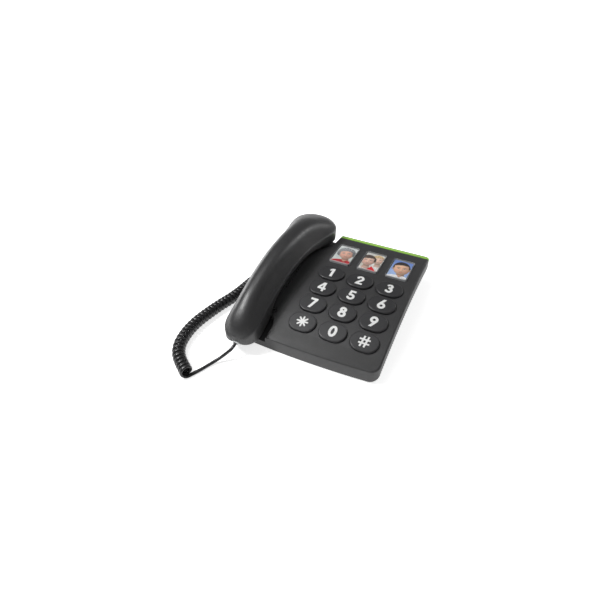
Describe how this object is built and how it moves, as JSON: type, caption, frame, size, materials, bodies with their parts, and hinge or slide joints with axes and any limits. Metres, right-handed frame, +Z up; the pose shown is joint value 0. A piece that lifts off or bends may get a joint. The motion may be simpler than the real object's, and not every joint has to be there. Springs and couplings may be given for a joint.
{
  "type": "corded desk telephone",
  "caption": "Corded big-button desk telephone with picture keys, a handset in a side cradle and a coiled handset cord.",
  "frame": {"origin": "centre of the telephone's footprint (base and handset, without the cord) on the surface it stands on", "axes": "+X to the right of the keypad, +Y to the rear, +Z up"},
  "size_m": [0.1936, 0.2459, 0.0674],
  "materials": {
    "black_housing": "satin, finely textured",
    "handset_plastic": "satin",
    "black_key": "satin",
    "green_translucent": "translucent gloss",
    "clear_cover": "clear gloss",
    "picture_paper": "printed photo card",
    "foot_rubber": "matte",
    "screw_steel": "zinc plated",
    "circuit_board": "solder mask",
    "grey_silicone": "matte",
    "speaker_metal": "satin",
    "switch_plastic": "moulded",
    "socket_plastic": "moulded",
    "weight_steel": "rolled",
    "clear_plug": "clear moulded",
    "cord_jacket": "satin"
  },
  "bodies": {
    "base": {"upper_housing": "black_housing", "lower_housing": "black_housing", "ring_light_strip": "green_translucent", "rubber_feet": "foot_rubber", "housing_screws": "screw_steel", "main_board": "circuit_board", "keypad_mat": "grey_silicone", "ring_light_board": "circuit_board", "ringer_speaker": "speaker_metal", "hook_switch": "switch_plastic", "base_cord_jack": "socket_plastic", "line_jack": "socket_plastic", "base_plug": "clear_plug", "curly_cord": "cord_jacket", "handset_lead": "cord_jacket", "base_lead": "cord_jacket"},
    "handset": {"handset_top": "handset_plastic", "handset_bottom": "handset_plastic", "earpiece_capsule": "speaker_metal", "microphone_capsule": "speaker_metal", "handset_weight": "weight_steel", "handset_cord_jack": "socket_plastic", "handset_screws": "screw_steel", "handset_plug": "clear_plug"},
    "plunger": {"hook_plunger": "black_key"},
    "key_star": {"key_star": "black_key"},
    "key_0": {"key_0": "black_key"},
    "key_hash": {"key_hash": "black_key"},
    "key_7": {"key_7": "black_key"},
    "key_8": {"key_8": "black_key"},
    "key_9": {"key_9": "black_key"},
    "key_4": {"key_4": "black_key"},
    "key_5": {"key_5": "black_key"},
    "key_6": {"key_6": "black_key"},
    "key_1": {"key_1": "black_key"},
    "key_2": {"key_2": "black_key"},
    "key_3": {"key_3": "black_key"},
    "photo_key_1": {"photo_key_1": "black_key", "photo_card_1": "picture_paper", "photo_cover_1": "clear_cover"},
    "photo_key_2": {"photo_key_2": "black_key", "photo_card_2": "picture_paper", "photo_cover_2": "clear_cover"},
    "photo_key_3": {"photo_key_3": "black_key", "photo_card_3": "picture_paper", "photo_cover_3": "clear_cover"}
  },
  "joints": [
    {"name": "handset_lift", "type": "slide", "parent": "base", "child": "handset", "axis": [0, 0, 1], "range_m": [0, 0.08], "deforming": ["curly_cord", "handset_lead", "base_lead"]},
    {"name": "hook_rise", "type": "slide", "parent": "base", "child": "plunger", "axis": [0, 0, 1], "range_m": [0, 0.004]},
    {"name": "press_key_star", "type": "slide", "parent": "base", "child": "key_star", "axis": [0, 0.257, -0.9664], "range_m": [0, 0.0013], "stiffness_N_per_m": 300, "springref_m": -0.001},
    {"name": "press_key_0", "type": "slide", "parent": "base", "child": "key_0", "axis": [0, 0.257, -0.9664], "range_m": [0, 0.0013], "stiffness_N_per_m": 300, "springref_m": -0.001},
    {"name": "press_key_hash", "type": "slide", "parent": "base", "child": "key_hash", "axis": [0, 0.257, -0.9664], "range_m": [0, 0.0013], "stiffness_N_per_m": 300, "springref_m": -0.001},
    {"name": "press_key_7", "type": "slide", "parent": "base", "child": "key_7", "axis": [0, 0.1937, -0.9811], "range_m": [0, 0.0013], "stiffness_N_per_m": 300, "springref_m": -0.001},
    {"name": "press_key_8", "type": "slide", "parent": "base", "child": "key_8", "axis": [0, 0.1937, -0.9811], "range_m": [0, 0.0013], "stiffness_N_per_m": 300, "springref_m": -0.001},
    {"name": "press_key_9", "type": "slide", "parent": "base", "child": "key_9", "axis": [0, 0.1937, -0.9811], "range_m": [0, 0.0013], "stiffness_N_per_m": 300, "springref_m": -0.001},
    {"name": "press_key_4", "type": "slide", "parent": "base", "child": "key_4", "axis": [0, 0.1305, -0.9915], "range_m": [0, 0.0013], "stiffness_N_per_m": 300, "springref_m": -0.001},
    {"name": "press_key_5", "type": "slide", "parent": "base", "child": "key_5", "axis": [0, 0.1305, -0.9915], "range_m": [0, 0.0013], "stiffness_N_per_m": 300, "springref_m": -0.001},
    {"name": "press_key_6", "type": "slide", "parent": "base", "child": "key_6", "axis": [0, 0.1305, -0.9915], "range_m": [0, 0.0013], "stiffness_N_per_m": 300, "springref_m": -0.001},
    {"name": "press_key_1", "type": "slide", "parent": "base", "child": "key_1", "axis": [0, 0.0672, -0.9977], "range_m": [0, 0.0013], "stiffness_N_per_m": 300, "springref_m": -0.001},
    {"name": "press_key_2", "type": "slide", "parent": "base", "child": "key_2", "axis": [0, 0.0672, -0.9977], "range_m": [0, 0.0013], "stiffness_N_per_m": 300, "springref_m": -0.001},
    {"name": "press_key_3", "type": "slide", "parent": "base", "child": "key_3", "axis": [0, 0.0672, -0.9977], "range_m": [0, 0.0013], "stiffness_N_per_m": 300, "springref_m": -0.001},
    {"name": "press_photo_key_1", "type": "slide", "parent": "base", "child": "photo_key_1", "axis": [0, -0.0341, -0.9994], "range_m": [0, 0.0013], "stiffness_N_per_m": 300, "springref_m": -0.001},
    {"name": "press_photo_key_2", "type": "slide", "parent": "base", "child": "photo_key_2", "axis": [0, -0.0341, -0.9994], "range_m": [0, 0.0013], "stiffness_N_per_m": 300, "springref_m": -0.001},
    {"name": "press_photo_key_3", "type": "slide", "parent": "base", "child": "photo_key_3", "axis": [0, -0.0341, -0.9994], "range_m": [0, 0.0013], "stiffness_N_per_m": 300, "springref_m": -0.001}
  ],
  "couplings": [
    {"joint": "hook_rise", "follows": "handset_lift", "ratio": 0.05}
  ]
}
